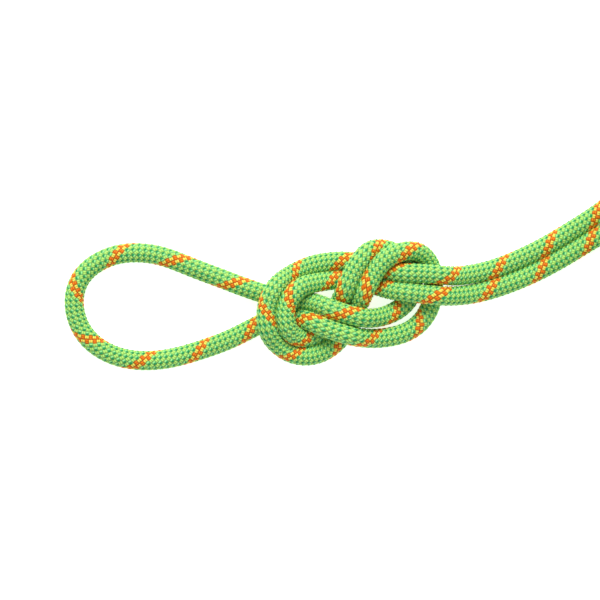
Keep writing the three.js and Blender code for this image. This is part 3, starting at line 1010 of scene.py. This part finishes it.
STRAP_WIDTH = 25.0
STRAP_THICK = 1.8
STRAP_HALF_Y = 59.5 + GAP
STRAP_CORNER = 26.0 + GAP
STRAP_INNER_LOW = STRAP_THICK
STRAP_INNER_HIGH = 80.0 - STRAP_THICK
FLAP_FROM = -30.0
FLAP_TO = 34.0
FLAP_THICK = 1.5
FLAP_ROWS = 65
FLAP_CLEAR = 0.1  # between the flap and the band under it
FLAP_TIP = 9.0  # the free end is rounded over this much
EDGE = 0.6  # rounding of the band's edges
FACE_CROWN = 0.12
BAND_STEP = 1.5
WARPS = 38
WEFT_PITCH = 1.1

webbing, web_tree, web_shader = new_material("nylon_webbing")
web_across, web_along = uv_of(web_tree)
warp = calc(web_tree, "SINE", product(web_tree, web_across, 2 * math.pi * WARPS))
weft = calc(web_tree, "SINE", product(web_tree, web_along, 2 * math.pi / WEFT_PITCH))
web_rib = product(web_tree, warp, weft)
web_fuzz = noise(web_tree, place_of(web_tree), 1500.0, 3.0)
web_height = calc(web_tree, "ADD", product(web_tree, web_rib, 0.5), web_fuzz)
web_mix = calc(web_tree, "ADD", product(web_tree, web_rib, 0.25), product(web_tree, web_fuzz, 0.9))
web_tree.links.new(blend(web_tree, web_mix, colour("#1d2023"), colour("#4a4f55")),
                   web_shader.inputs["Base Color"])
dial(web_shader, {"Roughness": 0.8, "Sheen Weight": 0.4})
bump(web_tree, web_shader, web_height, 0.0003)


def band_line(offset):
    """Round the waist at an offset outside the ropes: y and z, starting low in the middle."""
    half_y, low, high = STRAP_HALF_Y + offset, STRAP_INNER_LOW - offset, STRAP_INNER_HIGH + offset
    corner = STRAP_CORNER + offset
    points = []
    for cy, cz, first in ((half_y - corner, low + corner, -90), (half_y - corner, high - corner, 0),
                          (-half_y + corner, high - corner, 90), (-half_y + corner, low + corner, 180)):
        for q in np.radians(np.linspace(first, first + 90, 19)):
            points.append((0.0, cy + corner * math.cos(q), cz + corner * math.sin(q)))
    points.append(points[0])
    return evenly(np.array(points), BAND_STEP)


def band_section(width, thick):
    """Half-round edges and a very slightly crowned face, as (across, outwards)."""
    w, t = width / 2, thick / 2
    face = np.linspace(-w + EDGE, w - EDGE, 9)
    crown = FACE_CROWN * (1 - (face / w) ** 2)
    top = [(x, t + c) for x, c in zip(face, crown)]
    right = [(w - EDGE * 0.25, t * 0.7), (w, 0), (w - EDGE * 0.25, -t * 0.7)]
    bottom = [(x, -t) for x in face[::-1]]
    left = [(-x, -y) for x, y in right]
    return top + right + bottom + left


def band_frames(line, closed):
    ahead = np.roll(line, -1, axis=0) if closed else np.vstack([line[1:], 2 * line[-1] - line[-2]])
    behind = np.roll(line, 1, axis=0) if closed else np.vstack([2 * line[0] - line[1], line[:-1]])
    tangent = ahead - behind
    tangent /= np.linalg.norm(tangent, axis=1)[:, None]
    across = np.tile([1.0, 0, 0], (len(line), 1))
    return across, np.cross(tangent, across)


band = band_line(STRAP_THICK / 2)[:-1]
across, outwards = band_frames(band, True)
if (outwards[0] @ np.array([0, 0, -1.0])) < 0:
    outwards = -outwards
strap = swept("hank_strap_band", band + HANK_MIDDLE, across, outwards,
              band_section(STRAP_WIDTH, STRAP_THICK)[::-1], webbing, closed=True)
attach(strap, "root")
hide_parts("hank_strap")

flap_y = np.linspace(FLAP_TO, FLAP_FROM, FLAP_ROWS)
flap_z = STRAP_INNER_HIGH + STRAP_THICK + FLAP_THICK / 2 + FLAP_CLEAR
flap_middle = np.column_stack([np.zeros_like(flap_y), flap_y, np.full_like(flap_y, flap_z)])
drop = np.clip((np.abs(flap_y) - (STRAP_HALF_Y - STRAP_CORNER)) / STRAP_CORNER, 0, 1)
flap_middle[:, 2] -= STRAP_CORNER * (1 - np.sqrt(1 - drop ** 2))
flap_across, flap_out = band_frames(flap_middle, False)
flap_out *= np.sign(flap_out[:, 2:])
from_tip = np.clip(1 - (flap_y - FLAP_FROM) / FLAP_TIP, 0, 1)
rounded = np.sqrt(np.clip(1 - from_tip ** 2, 0.02, 1))
flap = swept("hank_strap_flap", flap_middle + HANK_MIDDLE, flap_across * rounded[:, None], flap_out,
             band_section(STRAP_WIDTH - 1.0, FLAP_THICK), webbing)
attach(flap, "root")


# ------------------------ stitches of the strap
# Bar-tacked rows of light thread: round the pad in a box, with a cross inside it. Each
# stitch is a short length of thread that dips into the webbing at both ends.

STITCH_LENGTH = 2.6
STITCH_GAP = 0.7
THREAD_R = 0.22
BOX_FROM, BOX_TO = 6.0, 26.0
BOX_HALF = 9.0
SEAM_PROUD = 0.08

thread, thread_tree, thread_shader = new_material("sewing_thread")
thread_twist = noise(thread_tree, place_of(thread_tree), 4000.0)
thread_tree.links.new(blend(thread_tree, thread_twist, colour("#8f9aa0"), colour("#d5dadd")),
                      thread_shader.inputs["Base Color"])
dial(thread_shader, {"Roughness": 0.55})
bump(thread_tree, thread_shader, thread_twist, 0.00005)


def stitch_tree():
    """A stitch on every point of the seam's line, turned along it."""
    tree, given, result = new_tree("sew_seam", ("Pitch", "Stitch Length", "Thread Radius"))
    made, link = tree.nodes.new, tree.links.new
    spots = made("GeometryNodeCurveToPoints")
    spots.mode = "LENGTH"
    link(given.outputs["Geometry"], spots.inputs["Curve"])
    link(given.outputs["Pitch"], spots.inputs["Length"])
    ball = made("GeometryNodeMeshUVSphere")
    dial(ball, {"Segments": 6, "Rings": 5, "Radius": 1.0})
    radius = given.outputs["Thread Radius"]
    size = combined(tree, radius, radius, product(tree, given.outputs["Stitch Length"], 0.5))
    sewn = made("GeometryNodeInstanceOnPoints")
    link(spots.outputs["Points"], sewn.inputs["Points"])
    link(ball.outputs["Mesh"], sewn.inputs["Instance"])
    link(spots.outputs["Rotation"], sewn.inputs["Rotation"])
    link(size, sewn.inputs["Scale"])
    dressed(tree, sewn.outputs[0], given, result)
    return tree


seam_z = flap_z + FLAP_THICK / 2 + SEAM_PROUD
corners = [(-BOX_HALF, BOX_FROM), (BOX_HALF, BOX_FROM), (BOX_HALF, BOX_TO), (-BOX_HALF, BOX_TO),
           (-BOX_HALF, BOX_FROM), (BOX_HALF, BOX_TO), (BOX_HALF, BOX_FROM), (-BOX_HALF, BOX_TO)]
seam_line = in_row(np.array([(x, y, seam_z) for x, y in corners]) + HANK_MIDDLE)
seam = grown("hank_strap_stitches", line_object("seam_line", seam_line), stitch_tree(), {
    "Pitch": (STITCH_LENGTH + STITCH_GAP) * MM, "Stitch Length": STITCH_LENGTH * MM,
    "Thread Radius": THREAD_R * MM, "Material": thread,
})
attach(seam, "root")
